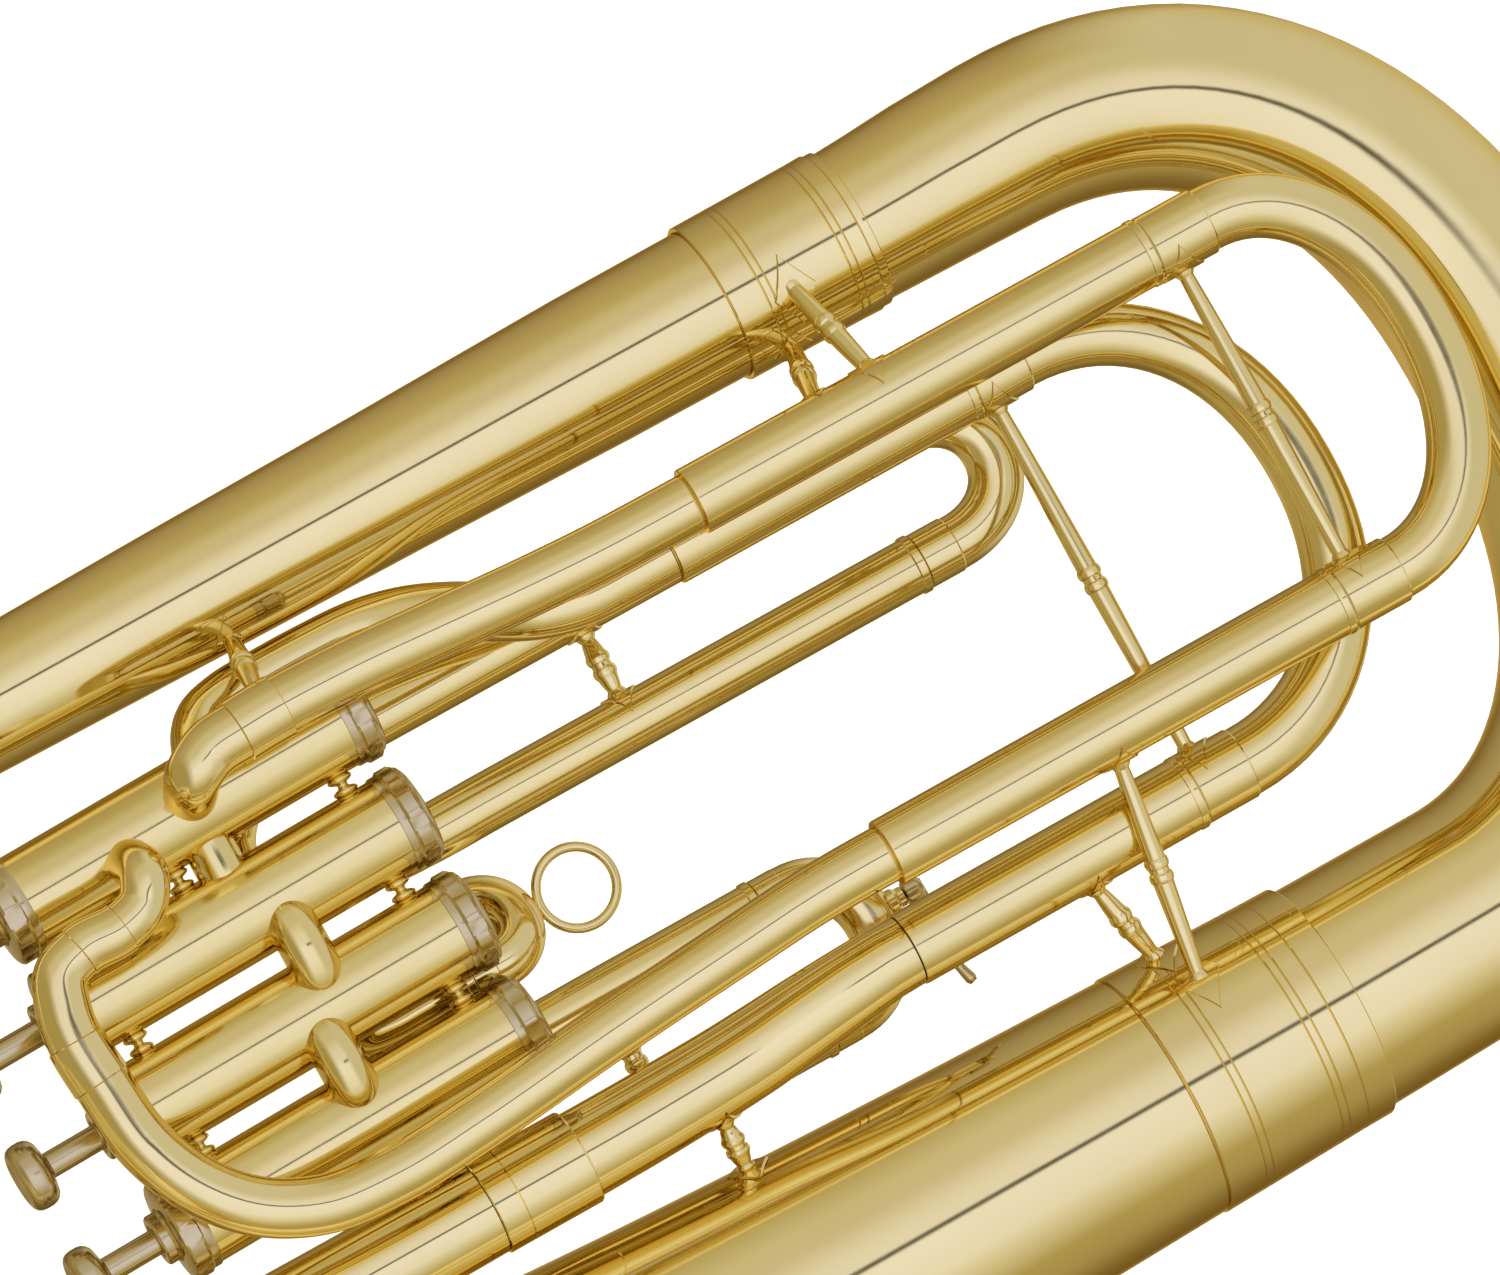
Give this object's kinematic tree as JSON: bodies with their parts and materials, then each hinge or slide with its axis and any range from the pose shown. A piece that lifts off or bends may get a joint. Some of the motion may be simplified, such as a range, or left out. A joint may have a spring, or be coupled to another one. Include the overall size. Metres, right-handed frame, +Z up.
{
  "type": "tenor tuba",
  "caption": "Lacquered brass tenor tuba (euphonium) with top-action piston valves, pull-out tuning slides, looped bows and an upright flared bell.",
  "frame": {"origin": "lowest point of the bottom bow, in the plane of the bell and the bows", "axes": "+X from the bell towards the outer branch, +Y away from the player, +Z up towards the bell mouth"},
  "size_m": [0.3936, 0.2804, 0.6056],
  "materials": {
    "lacquered_brass": "polished, clear lacquered",
    "valve_brass": "polished, clear lacquered",
    "slide_brass": "polished, clear lacquered",
    "nickel_plate": "polished nickel plate",
    "piston_metal": "lapped nickel alloy",
    "spring_steel": "drawn wire"
  },
  "bodies": {
    "instrument": {"valve_1_casing": "valve_brass", "valve_1_top_cap": "nickel_plate", "valve_1_bottom_cap": "nickel_plate", "valve_1_spring": "spring_steel", "valve_2_casing": "valve_brass", "valve_2_top_cap": "nickel_plate", "valve_2_bottom_cap": "nickel_plate", "valve_2_spring": "spring_steel", "valve_3_casing": "valve_brass", "valve_3_top_cap": "nickel_plate", "valve_3_bottom_cap": "nickel_plate", "valve_3_spring": "spring_steel", "valve_4_casing": "valve_brass", "valve_4_top_cap": "nickel_plate", "valve_4_bottom_cap": "nickel_plate", "valve_4_spring": "spring_steel", "knuckle_1_2": "valve_brass", "knuckle_2_3": "valve_brass", "knuckle_3_4": "valve_brass", "bell": "lacquered_brass", "bell_ferrule": "lacquered_brass", "bottom_bow": "lacquered_brass", "outer_branch": "lacquered_brass", "branch_ferrule": "lacquered_brass", "top_bow": "lacquered_brass", "small_branch": "lacquered_brass", "small_branch_ferrule": "lacquered_brass", "main_neck": "lacquered_brass", "fourth_branch": "lacquered_brass", "fourth_neck": "lacquered_brass", "leadpipe": "lacquered_brass", "mouthpiece_receiver": "lacquered_brass", "bell_brace": "lacquered_brass", "main_sleeve_left": "slide_brass", "main_sleeve_right": "slide_brass", "fourth_sleeve_left": "slide_brass", "fourth_sleeve_right": "slide_brass", "first_outer_left": "valve_brass", "first_outer_right": "valve_brass", "second_outer_left": "valve_brass", "second_outer_right": "valve_brass", "third_outer_left": "valve_brass", "third_outer_right": "valve_brass"},
    "main_slide": {"main_tuning_slide": "slide_brass", "main_slide_brace": "lacquered_brass"},
    "first_slide_body": {"first_slide": "slide_brass"},
    "water_key_body": {"water_key": "nickel_plate"},
    "second_slide_body": {"second_slide": "slide_brass", "second_slide_ring": "slide_brass"},
    "third_slide_body": {"third_slide": "slide_brass"},
    "fourth_slide_body": {"fourth_slide": "slide_brass", "fourth_slide_brace": "lacquered_brass"},
    "piston_1": {"valve_1_piston": "piston_metal", "valve_1_button": "nickel_plate"},
    "piston_2": {"valve_2_piston": "piston_metal", "valve_2_button": "nickel_plate"},
    "piston_3": {"valve_3_piston": "piston_metal", "valve_3_button": "nickel_plate"},
    "piston_4": {"valve_4_piston": "piston_metal", "valve_4_button": "nickel_plate"}
  },
  "joints": [
    {"name": "piston_1_press", "type": "slide", "parent": "instrument", "child": "piston_1", "axis": [0.0237, 0, -0.9997], "range_m": [0, 0.014], "stiffness_N_per_m": 120, "springref_m": -0.025, "deforming": ["valve_1_spring"]},
    {"name": "piston_2_press", "type": "slide", "parent": "instrument", "child": "piston_2", "axis": [0.0237, 0, -0.9997], "range_m": [0, 0.014], "stiffness_N_per_m": 120, "springref_m": -0.025, "deforming": ["valve_2_spring"]},
    {"name": "piston_3_press", "type": "slide", "parent": "instrument", "child": "piston_3", "axis": [0.0237, 0, -0.9997], "range_m": [0, 0.014], "stiffness_N_per_m": 120, "springref_m": -0.025, "deforming": ["valve_3_spring"]},
    {"name": "piston_4_press", "type": "slide", "parent": "instrument", "child": "piston_4", "axis": [0.0237, 0, -0.9997], "range_m": [0, 0.014], "stiffness_N_per_m": 120, "springref_m": -0.025, "deforming": ["valve_4_spring"]},
    {"name": "main_slide_pull", "type": "slide", "parent": "instrument", "child": "main_slide", "axis": [0, 0, -1], "range_m": [0, 0.036]},
    {"name": "first_slide_pull", "type": "slide", "parent": "instrument", "child": "first_slide_body", "axis": [0, 0, -1], "range_m": [0, 0.048]},
    {"name": "water_key_press", "type": "hinge", "parent": "first_slide_body", "child": "water_key_body", "pos_m": [-0.053, 0.006, 0.2315], "axis": [0, 1, 0], "range_deg": [0, 18], "stiffness_Nm_per_rad": 0.02, "springref_deg": -11.46},
    {"name": "second_slide_pull", "type": "slide", "parent": "instrument", "child": "second_slide_body", "axis": [0, 0, -1], "range_m": [0, 0.018]},
    {"name": "third_slide_pull", "type": "slide", "parent": "instrument", "child": "third_slide_body", "axis": [0, 0, -1], "range_m": [0, 0.09]},
    {"name": "fourth_slide_pull", "type": "slide", "parent": "instrument", "child": "fourth_slide_body", "axis": [0, 0, -1], "range_m": [0, 0.045]}
  ]
}
